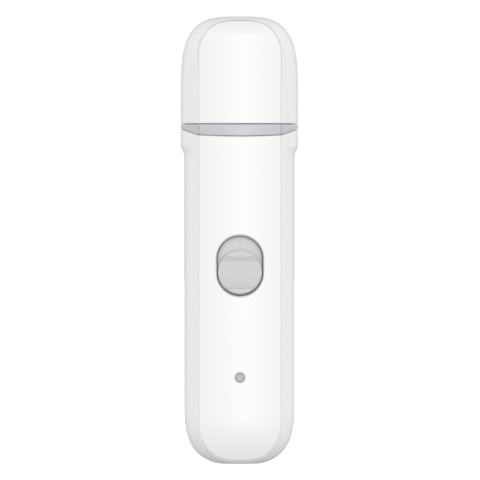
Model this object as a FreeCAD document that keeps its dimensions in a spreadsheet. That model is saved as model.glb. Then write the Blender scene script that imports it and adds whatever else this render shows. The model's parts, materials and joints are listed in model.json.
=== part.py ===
import FreeCAD, Part
import math
import os

import Sketcher
from FreeCAD import Placement, Rotation, Vector

# A cordless nail grinder for pets. Millimetres, +Z up along the grip, the front (switch side) faces -Y,
# the origin is the middle of the small flat that the tool stands on.

SIZES = {
    # casing, seen from the front
    "total_height": 148.0,
    "head_half_width": 19.4,
    "handle_half_width": 18.25,
    "crease_half_width": 14.0,
    "top_end_height": 26.9,
    "bottom_end_height": 20.0,
    "top_end_exponent": 3.42,
    "crease_top_height": 13.7,
    "crease_top_exponent": 2.65,
    "bottom_end_exponent": 2.85,
    "crease_bottom_base": 15.6,
    "crease_bottom_exponent": 2.2,
    "stand_flat_depth": 0.4,
    "collar_top": 105.2,
    "collar_bottom": 101.4,
    "collar_upper_pull": 0.22,
    "collar_lower_pull": 0.5,
    # casing, seen from the side
    "half_depth": 15.0,
    "panel_radius": 72.0,
    "rim_radius": 58.0,
    "top_roll_centre": 141.0,
    "top_roll_height": 9.1,
    "bottom_roll_centre": 16.0,
    "bottom_roll_height": 23.1,
    # walls, edges and gaps
    "shell_wall": 1.8,
    "cap_wall": 1.5,
    "guard_wall": 1.3,
    "mouth_crest": 110.6,
    "mouth_arch_radius": 45.4,
    "cap_edge": 112.45,
    "seam_gap": 0.15,
    "edge_chamfer": 0.35,
    "slip_gap": 0.2,
    # guard nose, which the cap covers
    "nose_half_width": 15.6,
    "nose_half_depth": 11.9,
    "nose_top": 139.0,
    "nose_end_height": 15.0,
    "nose_end_exponent": 2.6,
    "nose_crease_inset": 1.0,
    "nose_flank_rise": 4.6,
    "nose_roll_drop": 9.0,
    "nose_roll_height": 9.6,
    "nose_foot": 111.6,
    "grip_height": 2.6,
    "spigot_foot": 106.6,
    "port_width": 12.5,
    "port_bottom": 117.0,
    "port_top": 133.0,
    "top_port_radius": 4.6,
    # thumb switch
    "well_width": 15.1,
    "well_height": 19.85,
    "well_middle": 65.455,
    "well_bevel": 0.55,
    "well_floor": 12.8,
    "well_floor_thickness": 0.6,
    "well_flange_thickness": 0.8,
    "well_flange_margin": 1.5,
    "index_line_bottom": 71.25,
    "index_line_height": 3.0,
    "index_line_width": 0.4,
    "seal_front": 14.0,
    "seal_thickness": 0.18,
    "button_radius": 7.2,
    "button_rest": 63.45,
    "button_travel": 4.15,
    "button_face": 14.9,
    "button_back": 13.0,
    "scoop_above": 5.1,
    "scoop_below": 5.5,
    "scoop_depth": 1.5,
    "stem_width": 3.4,
    "stem_height": 3.4,
    # boards, battery and charging socket
    "board_front": 6.4,
    "board_thickness": 1.0,
    "board_half_width": 9.0,
    "board_bottom": 25.4,
    "board_top": 71.2,
    "post_spread": 6.5,
    "post_height": 44.0,
    "post_radius": 1.9,
    "switch_case_depth": 3.0,
    "cell_radius": 7.1,
    "cell_length": 49.0,
    "cell_bottom": 20.0,
    "cell_middle_depth": 5.2,
    "socket_width": 8.94,
    "socket_depth": 3.2,
    "socket_top": 7.6,
    "socket_recess": 0.6,
    "socket_wall": 0.3,
    "socket_mouth_slack": 0.5,
    "charge_board_top": 18.4,
    "indicator_height": 28.65,
    "indicator_radius": 1.75,
    # motor and drum
    "motor_radius": 10.2,
    "motor_half_flat": 7.7,
    "motor_bottom": 73.2,
    "motor_top": 103.4,
    "motor_wall": 0.8,
    "motor_rib_lower": 79.0,
    "motor_rib_upper": 96.0,
    "motor_rib_height": 2.5,
    "motor_screw_spread": 6.6,
    "deck_thickness": 2.0,
    "deck_boss_radius": 4.6,
    "deck_boss_top": 107.4,
    "deck_ledge_height": 1.6,
    "lamp_offset": 8.6,
    "shaft_radius": 1.0,
    "shaft_bottom": 71.9,
    "shaft_top": 129.4,
    "core_bottom": 83.0,
    "core_length": 14.0,
    "hub_bottom": 113.6,
    "hub_top": 130.6,
    "hub_radius": 3.6,
    "sleeve_bottom": 115.2,
    "sleeve_top": 130.0,
    "sleeve_radius": 4.9,
    # screws that hold the two casings together
    "screw_spread": 9.6,
    "screw_height": 14.0,
    "screw_head_radius": 1.8,
    "screw_radius": 0.9,
    "screw_seat": 11.4,
    "boss_radius": 2.6,
}

doc = FreeCAD.newDocument("nail_grinder")
sheet = doc.addObject("Spreadsheet::Sheet", "Sizes")
for row, (alias, value) in enumerate(SIZES.items(), start=1):
    sheet.set(f"A{row}", alias)
    sheet.set(f"B{row}", str(value))
    sheet.setAlias(f"B{row}", alias)
doc.recompute()

NODES = []


def size(alias):
    """A driving dimension, read back from the sheet."""
    return float(sheet.get(alias))


def bound(expression):
    """The expression with every alias in it pointed at the sheet."""
    words = expression.replace("(", "( ").replace(")", " )").split()
    return " ".join(f"Sizes.{word}" if word in SIZES else word for word in words)


# ---------------------------------------------------------------- document objects


def keep(piece, name):
    """Mark a finished document object as the sub-part of that name."""
    piece.Label = name
    NODES.append(piece)
    return piece


def solid_feature(name, shape):
    """A sub-part whose shape is worked out below instead of by a feature."""
    feature = doc.addObject("Part::Feature", name)
    feature.Shape = shape
    feature.Placement = Placement()
    return keep(feature, name)


def place(piece, x="0", y="0", z="0"):
    for axis, expression in zip("xyz", (x, y, z)):
        if expression != "0":
            piece.setExpression(f".Placement.Base.{axis}", bound(expression))
    return piece


def box(name, length, depth, height, x, y, z):
    """A box whose lowest corner is at x, y, z; all arguments are expressions."""
    piece = doc.addObject("Part::Box", name)
    for side, expression in zip(("Length", "Width", "Height"), (length, depth, height)):
        piece.setExpression(side, bound(expression))
    return place(piece, x, y, z)


def cylinder(name, radius, height, x="0", y="0", z="0"):
    """An upright cylinder standing at x, y, z."""
    piece = doc.addObject("Part::Cylinder", name)
    piece.setExpression("Radius", bound(radius))
    piece.setExpression("Height", bound(height))
    return place(piece, x, y, z)


def front_cylinder(name, radius, length, x, y, z):
    """A cylinder that starts at x, y, z and runs towards the front."""
    piece = cylinder(name, radius, length)
    piece.Placement = Placement(Vector(), Rotation(Vector(1, 0, 0), 90))
    return place(piece, x, y, z)


def cut(name, base, *tools):
    for number, tool in enumerate(tools):
        last = number == len(tools) - 1
        result = doc.addObject("Part::Cut", name if last else f"{name}_step_{number}")
        result.Base = base
        result.Tool = tool
        base = result
    return base


def fuse(name, *pieces):
    result = doc.addObject("Part::MultiFuse", name)
    result.Shapes = list(pieces)
    return result


def group(name, *pieces):
    """Several separate, identical solids that share one node."""
    result = doc.addObject("Part::Compound", name)
    result.Links = list(pieces)
    return keep(result, name)


def new_body(name):
    return keep(doc.addObject("PartDesign::Body", name), name)


def new_sketch(body, role, offset="0"):
    """A sketch on one of the body's own origin planes, moved along that plane's normal."""
    sketch = body.newObject("Sketcher::SketchObject", f"{body.Name}_sketch")
    plane = next(item for item in body.Origin.OriginFeatures if item.Role == role)
    sketch.AttachmentSupport = (plane, [""])
    sketch.MapMode = "FlatFace"
    if offset != "0":
        sketch.setExpression(".AttachmentOffset.Base.z", bound(offset))
    return sketch


def pin_point(sketch, geometry, end, across, along):
    """Hold one point of a sketch at two expressions; zero means on the axis itself."""
    if across == "0":
        sketch.addConstraint(Sketcher.Constraint("PointOnObject", geometry, end, -2))
    else:
        value = sketch.getPoint(geometry, end).x
        index = sketch.addConstraint(Sketcher.Constraint("DistanceX", -1, 1, geometry, end, value))
        sketch.setExpression(f"Constraints[{index}]", bound(across))
    if along == "0":
        sketch.addConstraint(Sketcher.Constraint("PointOnObject", geometry, end, -1))
    else:
        value = sketch.getPoint(geometry, end).y
        index = sketch.addConstraint(Sketcher.Constraint("DistanceY", -1, 1, geometry, end, value))
        sketch.setExpression(f"Constraints[{index}]", bound(along))


def value_of(expression):
    """The number that an expression over the sheet's aliases comes to."""
    probe = doc.addObject("App::FeaturePython", "probe")
    probe.addProperty("App::PropertyFloat", "Result")
    probe.setExpression("Result", bound(expression))
    probe.recompute()
    result = probe.Result
    doc.removeObject(probe.Name)
    return result


def draw_polygon(sketch, corners):
    """A closed outline through corners, each a pair of expressions, fully constrained."""
    points = [Vector(value_of(across), value_of(along), 0) for across, along in corners]
    first = sketch.GeometryCount
    for start, end in zip(points, points[1:] + points[:1]):
        sketch.addGeometry(Part.LineSegment(start, end))
    for number, (across, along) in enumerate(corners):
        this = first + number
        before = first + (number - 1) % len(corners)
        sketch.addConstraint(Sketcher.Constraint("Coincident", before, 2, this, 1))
        pin_point(sketch, this, 1, across, along)


def draw_rectangle(sketch, left, right, bottom, top):
    draw_polygon(sketch, [(left, bottom), (right, bottom), (right, top), (left, top)])


def draw_circle(sketch, radius, across="0", along="0"):
    middle = Vector(value_of(across), value_of(along), 0)
    index = sketch.addGeometry(Part.Circle(middle, Vector(0, 0, 1), value_of(radius)))
    pin_point(sketch, index, 3, across, along)
    held = sketch.addConstraint(Sketcher.Constraint("Radius", index, value_of(radius)))
    sketch.setExpression(f"Constraints[{held}]", bound(radius))


def pad(body, sketch, length):
    feature = body.newObject("PartDesign::Pad", f"{body.Name}_pad")
    feature.Profile = sketch
    feature.setExpression("Length", bound(length))
    sketch.Visibility = False
    body.Tip = feature
    return feature


def pocket(body, sketch, length, midplane=False):
    """Cut the sketch out of the body; the volume shows that it met the solid."""
    doc.recompute()
    before = body.Shape.Volume
    feature = body.newObject("PartDesign::Pocket", f"{body.Name}_pocket")
    feature.Profile = sketch
    feature.setExpression("Length", bound(length))
    feature.Midplane = midplane
    body.Tip = feature
    doc.recompute()
    if body.Shape.Volume > before - 1e-4:
        feature.Reversed = True
        doc.recompute()
    if body.Shape.Volume > before - 1e-4:
        raise RuntimeError(f"{body.Label}: a pocket cuts nothing")
    return feature


def turned(name, corners):
    """A piece turned about the upright axis: corners are pairs of radius and height."""
    body = new_body(name)
    sketch = new_sketch(body, "XZ_Plane")
    draw_polygon(sketch, corners)
    feature = body.newObject("PartDesign::Revolution", f"{name}_turn")
    feature.Profile = sketch
    feature.ReferenceAxis = (sketch, ["V_Axis"])
    feature.Angle = 360
    body.Tip = feature
    return body


def plate(name, left, right, bottom, top, back, thickness):
    """A flat board that faces the front: its back is `back` in front of the middle plane."""
    body = new_body(name)
    sketch = new_sketch(body, "XZ_Plane", back)
    draw_rectangle(sketch, left, right, bottom, top)
    pad(body, sketch, thickness)
    return body


# ---------------------------------------------------------------- the casing's outer form


def crowned(reach, radius, inset, offset):
    """Distance of a crowned surface from the middle: an arc whose crest is at reach, moved in by inset."""
    return reach - radius + math.sqrt((radius - inset) ** 2 - offset ** 2)


def arc_radius(half_chord, rise):
    return (half_chord ** 2 + rise ** 2) / (2 * rise)


def super_end(half_width, base, height, exponent, at):
    """Half a superellipse from +half_width over base + height to -half_width; `at` makes each point."""
    points = []
    steps = 20
    for step in range(steps + 1):
        angle = math.pi * step / steps
        cosine = math.cos(angle)
        across = math.copysign(abs(cosine) ** (2 / exponent), cosine) * half_width
        points.append(at(across, base + height * math.sin(angle) ** (2 / exponent)))
    curve = Part.BSplineCurve()
    rise = math.copysign(1.0, height)
    start = at(0, rise) - at(0, 0)
    curve.interpolate(Points=points, InitialTangent=start, FinalTangent=-start)
    return curve.toShape()


def line(start, end):
    return Part.LineSegment(start, end).toShape()


def loft_across(section, reach):
    """A solid through the sections at nine even places from -reach to +reach."""
    steps = 4
    wires = [section(reach * step / steps) for step in range(-steps, steps + 1)]
    return Part.makeLoft(wires, True, False)


def crease_depth():
    return crowned(size("half_depth"), size("panel_radius"), 0, size("crease_half_width"))


def side_radius(half_width):
    """Radius of the rounded flank that runs from the crease to the widest line."""
    return arc_radius(crease_depth(), half_width - size("crease_half_width"))


def front_section(depth, inset):
    """The casing's outline in the upright plane at one depth: round ends, and the collar's step between."""

    def at(across, height):
        return Vector(across, depth, height)

    def flank(half_width):
        return crowned(half_width, side_radius(half_width), inset, depth)

    def towards_crease(at_middle, at_crease):
        """A size of the rounded ends, which changes from mid depth to the crease."""
        return at_middle + (at_crease - at_middle) * (depth / crease_depth()) ** 2

    head = flank(size("head_half_width"))
    handle = flank(size("handle_half_width"))
    top = crowned(size("total_height"), size("rim_radius"), inset, depth)
    bottom = -crowned(size("stand_flat_depth"), size("rim_radius"), inset, depth)
    height = size("total_height")
    top_base = towards_crease(height - size("top_end_height"), height - size("crease_top_height"))
    top_exponent = towards_crease(size("top_end_exponent"), size("crease_top_exponent"))
    lower_base = size("bottom_end_height") - size("stand_flat_depth")
    bottom_base = towards_crease(lower_base, size("crease_bottom_base"))
    bottom_exponent = towards_crease(size("bottom_end_exponent"), size("crease_bottom_exponent"))
    upper = size("collar_top")
    lower = size("collar_bottom")
    upper_pull = (upper - lower) * size("collar_upper_pull")
    lower_pull = (upper - lower) * size("collar_lower_pull")

    def collar(side):
        curve = Part.BezierCurve()
        heights = (upper, upper - upper_pull, lower + lower_pull, lower)
        curve.setPoles([at(side * w, h) for w, h in zip((head, head, handle, handle), heights)])
        return curve.toShape()

    return Part.Wire(Part.__sortEdges__([
        line(at(head, upper), at(head, top_base)),
        super_end(head, top_base, top - top_base, top_exponent, at),
        line(at(-head, top_base), at(-head, upper)),
        collar(-1),
        line(at(-handle, lower), at(-handle, bottom_base)),
        super_end(handle, bottom_base, bottom - bottom_base, bottom_exponent, at),
        line(at(handle, bottom_base), at(handle, lower)),
        collar(1),
    ]))


def side_section(across, inset):
    """The casing's outline seen from the side, at one distance from the middle."""

    def at(depth, height):
        return Vector(across, depth, height)

    half = crowned(size("half_depth"), size("panel_radius"), inset, across)
    top = size("top_roll_centre")
    bottom = size("bottom_roll_centre")
    return Part.Wire(Part.__sortEdges__([
        line(at(half, bottom), at(half, top)),
        super_end(half, top, size("top_roll_height") - inset, 2, at),
        line(at(-half, top), at(-half, bottom)),
        super_end(half, bottom, inset - size("bottom_roll_height"), 2, at),
    ]))


def casing_form(inset):
    """The whole closed form, crowned front and back, with creases along both flanks."""
    across = size("head_half_width") + 0.35 - inset
    depth = size("half_depth") + 0.3 - inset
    flanks = loft_across(lambda y: front_section(y, inset), depth)
    panels = loft_across(lambda x: side_section(x, inset), across)
    return flanks.common(panels)


def slab(bottom, top):
    """Everything between two heights."""
    reach = 60.0
    return Part.makeBox(2 * reach, 2 * reach, top - bottom, Vector(-reach, -reach, bottom))


def below_mouth(gap):
    """Everything under the handle's arched mouth, raised by gap."""
    radius = size("mouth_arch_radius") + gap
    crest = size("mouth_crest") + gap
    reach = 60.0
    arch = Part.makeCylinder(radius, 2 * reach, Vector(-reach, 0, crest - radius), Vector(1, 0, 0))
    return arch.common(slab(80.0, 130.0)).fuse(slab(-5.0, 80.0)).removeSplitter()


def stadium(width, height, middle, front, back):
    """An upright slot shape that runs through from depth front to depth back."""
    radius = width / 2
    straight = height / 2 - radius
    centre_top = Vector(0, front, middle + straight)
    centre_bottom = Vector(0, front, middle - straight)
    side = Vector(radius, 0, 0)
    lift = Vector(0, 0, radius)
    edges = [
        Part.Arc(centre_top + side, centre_top + lift, centre_top - side).toShape(),
        line(centre_top - side, centre_bottom - side),
        Part.Arc(centre_bottom - side, centre_bottom - lift, centre_bottom + side).toShape(),
        line(centre_bottom + side, centre_top + side),
    ]
    return Part.Face(Part.Wire(edges)).extrude(Vector(0, back - front, 0))


def front_rod(radius, across, height, front, back):
    return Part.makeCylinder(radius, back - front, Vector(across, front, height), Vector(0, 1, 0))


outer_form = casing_form(0)
shell_cavity = casing_form(size("shell_wall"))
fit_form = casing_form(size("shell_wall") + size("seam_gap"))
rib_form = casing_form(size("shell_wall") / 2)


# ---------------------------------------------------------------- casing halves


def edges_where(shape, test):
    """The edges whose every sampled point passes the test."""
    chosen = []
    for edge in shape.Edges:
        first, last = edge.ParameterRange
        samples = [edge.valueAt(first + (last - first) * part / 4) for part in range(5)]
        if all(test(point) for point in samples):
            chosen.append(edge)
    return chosen


def motor_rib(bottom):
    """A web across the casing that the motor's rubber ring sits in."""
    top = bottom + size("motor_rib_height")
    hole = Part.makeCylinder(size("motor_radius") + 1.0, top - bottom, Vector(0, 0, bottom))
    return rib_form.common(slab(bottom, top)).cut(hole)


def deck_ledge():
    """The ledge under the deck, open in the middle for the motor."""
    top = size("motor_top")
    bottom = top - size("deck_ledge_height")
    window = Part.makeCylinder(size("motor_radius") + 1.0, 2.0, Vector(0, 0, bottom))
    return rib_form.common(slab(bottom, top)).cut(window)


def half_space(side):
    """The front (-1) or rear (+1) half of everything above the stand flat."""
    reach = 60.0
    return Part.makeBox(2 * reach, reach, 200.0, Vector(-reach, min(0, side * reach), 0))


def bosses(side):
    """The two screw posts of one casing half, trimmed to the wall."""
    depth = size("half_depth")
    rods = [
        front_rod(size("boss_radius"), x, size("screw_height"), min(0, side * depth), max(0, side * depth))
        for x in (-size("screw_spread"), size("screw_spread"))
    ]
    return rods[0].fuse(rods[1]).common(rib_form)


def casing_half(side):
    hollow = outer_form.cut(shell_cavity)
    webs = [motor_rib(size("motor_rib_lower")), motor_rib(size("motor_rib_upper")), deck_ledge()]
    whole = hollow.fuse(webs).fuse(bosses(side))
    half = whole.common(half_space(side)).common(below_mouth(0))
    slack = size("socket_mouth_slack")
    mouth = slot_prism(size("socket_width") + slack, size("socket_depth") + slack, -1.0, 6.0)
    return half.cut(mouth)


def slot_prism(width, depth, bottom, top):
    """A round-ended slot seen from below, between two heights."""
    radius = depth / 2
    straight = width / 2 - radius
    middle = Part.makeBox(2 * straight, depth, top - bottom, Vector(-straight, -radius, bottom))
    ends = [Part.makeCylinder(radius, top - bottom, Vector(x, 0, bottom)) for x in (-straight, straight)]
    return middle.fuse(ends).removeSplitter()


def board_posts():
    """Posts inside the front casing that carry the main board."""
    front = -size("half_depth")
    back = -size("board_front")
    spread = size("post_spread")
    posts = [front_rod(size("post_radius"), x, size("post_height"), front, back) for x in (-spread, spread)]
    return posts[0].fuse(posts[1]).common(rib_form)


def front_shell():
    shell = casing_half(-1).fuse(board_posts())
    opening = stadium(size("well_width"), size("well_height"), size("well_middle"), -20.0, -10.0)
    light_pipe = front_rod(size("indicator_radius"), 0, size("indicator_height"), -20.0, -10.0)
    shell = shell.cut([opening, light_pipe])
    spread = size("screw_spread")
    pilots = [front_rod(size("screw_radius"), x, size("screw_height"), -10.0, 1.0) for x in (-spread, spread)]
    post_spread = size("post_spread")
    board_pilots = [front_rod(0.8, x, size("post_height"), -12.0, 0.0) for x in (-post_spread, post_spread)]
    shell = shell.cut(pilots + board_pilots)
    rim = edges_where(shell, on_opening_rim)
    return shell.makeChamfer(size("well_bevel"), rim)


def on_opening_rim(point):
    """On the outer edge of the switch opening."""
    reach = size("well_width") / 2 + 0.01
    height = size("well_height") / 2 + 0.01
    inside = abs(point.x) < reach and abs(point.z - size("well_middle")) < height
    return inside and point.y < -size("half_depth") + 0.6


def rear_shell():
    shell = casing_half(1)
    spread = size("screw_spread")
    height = size("screw_height")
    for x in (-spread, spread):
        shell = shell.cut(front_rod(size("screw_radius") + 0.2, x, height, -1.0, 20.0))
        shell = shell.cut(front_rod(size("screw_head_radius") + 0.2, x, height, size("screw_seat"), 20.0))
    return shell


def switch_well():
    """The grey tray behind the casing's opening: floor, back flange, stem slot and a fine index line."""
    floor = -size("well_floor")
    step = floor + size("well_floor_thickness")
    back = step + size("well_flange_thickness")
    width = size("well_width")
    height = size("well_height")
    middle = size("well_middle")
    margin = 2 * size("well_flange_margin")
    tray = stadium(width - 0.1, height - 0.1, middle, floor, step)
    tray = tray.fuse(stadium(width + margin, height + margin, middle, step, back)).removeSplitter()
    slack = 0.4
    stem = size("stem_width") + slack
    travel = size("stem_height") + size("button_travel") + slack
    slot = Part.makeBox(stem, 4.0, travel, Vector(-stem / 2, floor - 1.0, middle - travel / 2))
    line_width = size("index_line_width")
    line_foot = Vector(-line_width / 2, floor - 1.0, size("index_line_bottom"))
    index_line = Part.makeBox(line_width, 1.25, size("index_line_height"), line_foot)
    return tray.cut([slot, index_line])


def switch_seal():
    """The thin black dust seal that lines the opening, between the tray's floor and the bevel."""
    play = 0.02
    front = -size("seal_front")
    back = -size("well_floor") - play
    width = size("well_width") - 2 * play
    height = size("well_height") - 2 * play
    wall = 2 * size("seal_thickness")
    middle = size("well_middle")
    outside = stadium(width, height, middle, front, back)
    return outside.cut(stadium(width - wall, height - wall, middle, front - 1.0, back + 1.0))


# ---------------------------------------------------------------- guard and cap


def nose_form(inset):
    """The guard's nose: the casing's own manner of form, narrower all round."""
    half_width = size("nose_half_width")
    half_depth = size("nose_half_depth")
    top = size("nose_top")
    foot = size("nose_foot") - inset
    base = top - size("nose_end_height")
    flank_radius = arc_radius(half_depth - size("nose_crease_inset"), size("nose_flank_rise"))

    def front_outline(depth):
        def at(across, height):
            return Vector(across, depth, height)

        flank = crowned(half_width, flank_radius, inset, depth)
        crest = crowned(top, size("rim_radius"), inset, depth)
        return Part.Wire(Part.__sortEdges__([
            line(at(flank, foot), at(flank, base)),
            super_end(flank, base, crest - base, size("nose_end_exponent"), at),
            line(at(-flank, base), at(-flank, foot)),
            line(at(-flank, foot), at(flank, foot)),
        ]))

    def side_outline(across):
        def at(depth, height):
            return Vector(across, depth, height)

        half = crowned(half_depth, size("panel_radius"), inset, across)
        roll = top - size("nose_roll_drop")
        return Part.Wire(Part.__sortEdges__([
            line(at(half, foot), at(half, roll)),
            super_end(half, roll, size("nose_roll_height") - inset, 2, at),
            line(at(-half, roll), at(-half, foot)),
            line(at(-half, foot), at(half, foot)),
        ]))

    flanks = loft_across(front_outline, half_depth + 0.2 - inset)
    panels = loft_across(side_outline, half_width + 0.2 - inset)
    return flanks.common(panels)


def guard_collar():
    """The dust guard's base: flush band, spigot that plugs into the handle, ring that grips the cap."""
    ledge = size("cap_edge") - size("seam_gap")
    under_ledge = ledge - size("guard_wall")
    spigot_inner = casing_form(size("shell_wall") + size("seam_gap") + size("guard_wall"))
    cap_grip = casing_form(size("cap_wall") + size("slip_gap"))
    band = outer_form.common(slab(100.0, ledge)).cut(below_mouth(size("seam_gap")))
    spigot = fit_form.common(slab(size("spigot_foot"), ledge))
    grip = cap_grip.common(slab(ledge - 0.5, ledge + size("grip_height")))
    inside = spigot_inner.common(slab(90.0, under_ledge))
    upper_inside = spigot_inner.common(slab(ledge, ledge + 4.0))
    collar = band.fuse(spigot).cut(inside)
    collar = collar.fuse(grip.cut(upper_inside))
    nose_room = nose_form(-size("seam_gap")).common(slab(ledge, 150.0))
    return collar.cut([nose_form(size("guard_wall")), nose_room]).removeSplitter()


def guard_nose():
    """The see-through hood over the drum, bonded to the collar's ledge, with a port in front and on top."""
    ledge = size("cap_edge") - size("seam_gap")
    nose = nose_form(0).common(slab(ledge, 150.0))
    port_height = size("port_top") - size("port_bottom")
    port_middle = (size("port_top") + size("port_bottom")) / 2
    port = stadium(size("port_width"), port_height, port_middle, -20.0, -4.0)
    top_port = Part.makeCylinder(size("top_port_radius"), 20.0, Vector(0, 0, 130.0))
    return nose.cut(nose_form(size("guard_wall"))).cut([port, top_port]).removeSplitter()


def cap_shell():
    edge = size("cap_edge")
    solid = outer_form.common(slab(edge, 160.0))
    shell = solid.cut(casing_form(size("cap_wall")).common(slab(90.0, 160.0)))
    outer_edges = edges_where(shell, lambda point: abs(point.z - edge) < 1e-4 and on_outside(point))
    return shell.makeChamfer(size("edge_chamfer"), outer_edges)


def on_outside(point):
    """On the casing's outer skin and not on the cap's inner one."""
    reach = crowned(size("head_half_width"), side_radius(size("head_half_width")), 0, point.y)
    front = crowned(size("half_depth"), size("panel_radius"), 0, point.x)
    return abs(abs(point.x) - reach) < 0.05 or abs(abs(point.y) - front) < 0.05


solid_feature("front_shell", front_shell())
solid_feature("rear_shell", rear_shell())
solid_feature("switch_well", switch_well())
solid_feature("switch_seal", switch_seal())
solid_feature("guard_collar", guard_collar())
solid_feature("guard_nose", guard_nose())
solid_feature("cap_shell", cap_shell())


# ---------------------------------------------------------------- thumb switch


def slide_button():
    """A round slide with a thumb scoop that runs right across and ends in a step."""
    face = -size("button_face")
    back = -size("button_back")
    rest = size("button_rest")
    radius = size("button_radius")
    top = rest + size("scoop_above")
    bottom = rest - size("scoop_below")
    disc = front_rod(radius, 0, rest, face, back)
    rims = [edge for edge in disc.Edges if abs(edge.CenterOfMass.y - face) < 1e-4 and edge.Closed]
    disc = disc.makeFillet(0.3, rims)
    depth = size("scoop_depth")
    middle = (top + bottom) / 2
    step_radius = 0.15

    def at(height, sunk):
        return Vector(-10, face + sunk, height)

    edge_start = at(top + 0.5, 0)
    edge_end = at(top - 0.3, 0.09 * depth)
    shoulder = at(top - 1.5, 0.4 * depth)
    ramp_end = at(bottom + step_radius, depth)
    step_foot = at(bottom, depth - step_radius)
    lip = at(bottom, step_radius)
    lip_top = at(bottom - step_radius, 0)
    behind = [at(bottom - step_radius, -1), at(top + 0.5, -1)]
    profile = Part.Wire([
        Part.Arc(edge_start, at(top + 0.1, 0.02 * depth), edge_end).toShape(),
        line(edge_end, shoulder),
        Part.Arc(shoulder, at(middle, 0.62 * depth), ramp_end).toShape(),
        Part.Arc(ramp_end, at(bottom + step_radius * 0.3, depth - step_radius * 0.3), step_foot).toShape(),
        line(step_foot, lip),
        Part.Arc(lip, at(bottom - step_radius * 0.3, step_radius * 0.3), lip_top).toShape(),
        line(lip_top, behind[0]),
        line(behind[0], behind[1]),
        line(behind[1], edge_start),
    ])
    scoop = Part.Face(profile).extrude(Vector(20, 0, 0))
    return disc.cut(scoop)


def add_carriage():
    """The plate behind the tray, the stem that holds the button, and the pocket for the switch lever."""
    stem_back = "well_floor - well_floor_thickness - well_flange_thickness - 0.15"
    stem = box("carriage_stem", "stem_width", f"button_back - ( {stem_back} )", "stem_height",
               "0 - stem_width / 2", "0 - button_back", "button_rest - stem_height / 2")
    sheet_plate = box("carriage_plate", "9", "1.2", "9", "-4.5", f"0 - ( {stem_back} )", "button_rest - 4.5")
    lever_pocket = box("carriage_pocket", "2.2", "2", "2.2", "-1.1", "0 - ( well_floor - 1.85 )",
                       "button_rest - 1.1")
    whole = fuse("carriage_solid", stem, sheet_plate)
    keep(cut("slide_carriage", whole, lever_pocket), "slide_carriage")


def add_slide_switch():
    """The electrical switch on the board: a case with a slotted face, and its lever."""
    middle = "well_middle"
    shell = box("switch_case_block", "6.4", "switch_case_depth", "11.6",
                "-3.2", "0 - board_front - switch_case_depth", f"{middle} - 5.8")
    chamber = box("switch_case_chamber", "3.6", "switch_case_depth", "9.6",
                  "-1.8", "0 - board_front - switch_case_depth + 0.5", f"{middle} - 4.8")
    slot = box("switch_case_slot", "2.2", "2", "6.4", "-1.1", "0 - board_front - switch_case_depth - 1",
               f"{middle} - 3.2")
    keep(cut("switch_case", shell, chamber, slot), "switch_case")
    base = box("lever_base", "3.2", "0.9", "4.2", "-1.6", "0 - board_front - 1.4", "button_rest - 2.1")
    nub = box("lever_nub", "1.8", "3.4", "1.8", "-0.9", "0 - board_front - 4.35", "button_rest - 0.9")
    keep(fuse("switch_lever", base, nub), "switch_lever")


# ---------------------------------------------------------------- boards, indicator, battery, charging


def add_main_board():
    board = plate("main_board", "0 - board_half_width", "board_half_width", "board_bottom", "board_top",
                  "board_front - board_thickness", "board_thickness")
    holes = new_sketch(board, "XZ_Plane", "board_front")
    for side in ("0 - post_spread", "post_spread"):
        draw_circle(holes, "1.1", side, "post_height")
    pocket(board, holes, "board_thickness")
    plate("controller_chip", "-2.6", "2.6", "50", "55.2", "board_front - board_thickness - 0.9", "0.9")
    plate("power_inductor", "-2", "2", "35", "39", "board_front - board_thickness - 1.6", "1.6")
    plate("status_led", "-1", "1", "indicator_height - 0.8", "indicator_height + 0.8", "board_front", "0.7")


def board_screw(number, side):
    """A small pan-head screw that enters the post from behind the board."""
    back = "board_front - board_thickness"
    height = "post_height"
    head = front_cylinder(f"board_screw_head_{number}", "1.6", "1", side, f"1 - ( {back} )", height)
    thread = front_cylinder(f"board_screw_thread_{number}", "0.8", "4.6", side, f"0 - ( {back} )", height)
    return fuse(f"board_screw_{number}", head, thread)


def casing_screw(number, side):
    """A screw that enters from the rear casing and bites into the front post."""
    centre = f"{side} * screw_spread"
    outer = "screw_seat + 1.6"
    head = front_cylinder(f"casing_screw_head_{number}", "screw_head_radius", "1.6", centre, outer,
                          "screw_height")
    thread = front_cylinder(f"casing_screw_thread_{number}", "screw_radius", "18", centre, "screw_seat",
                            "screw_height")
    drive = box(f"casing_screw_drive_{number}", "2.2", "1.2", "0.5", f"{centre} - 1.1", "screw_seat + 0.8",
                "screw_height - 0.25")
    cross = box(f"casing_screw_cross_{number}", "0.5", "1.2", "2.2", f"{centre} - 0.25", "screw_seat + 0.8",
                "screw_height - 1.1")
    return cut(f"casing_screw_{number}", fuse(f"casing_screw_blank_{number}", head, thread), drive, cross)


def add_indicator():
    """A ring and a light guide flush with the casing, in front of the status light."""
    front = "half_depth - 0.06"
    ring = front_cylinder("bezel_rod", "indicator_radius - 0.02", "2.4", "0", f"2.4 - ( {front} )",
                          "indicator_height")
    bore = front_cylinder("bezel_bore", "1.12", "5", "0", f"4 - ( {front} )", "indicator_height")
    keep(cut("indicator_bezel", ring, bore), "indicator_bezel")
    guide = front_cylinder("guide_rod", "1.1", "half_depth - 0.2 - ( board_front + 0.9 )", "0",
                           "0 - board_front - 0.9", "indicator_height")
    flange = front_cylinder("guide_flange", "2.4", "1", "0", "0 - ( half_depth - 3.6 )", "indicator_height")
    keep(fuse("indicator_lens", guide, flange), "indicator_lens")


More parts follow.
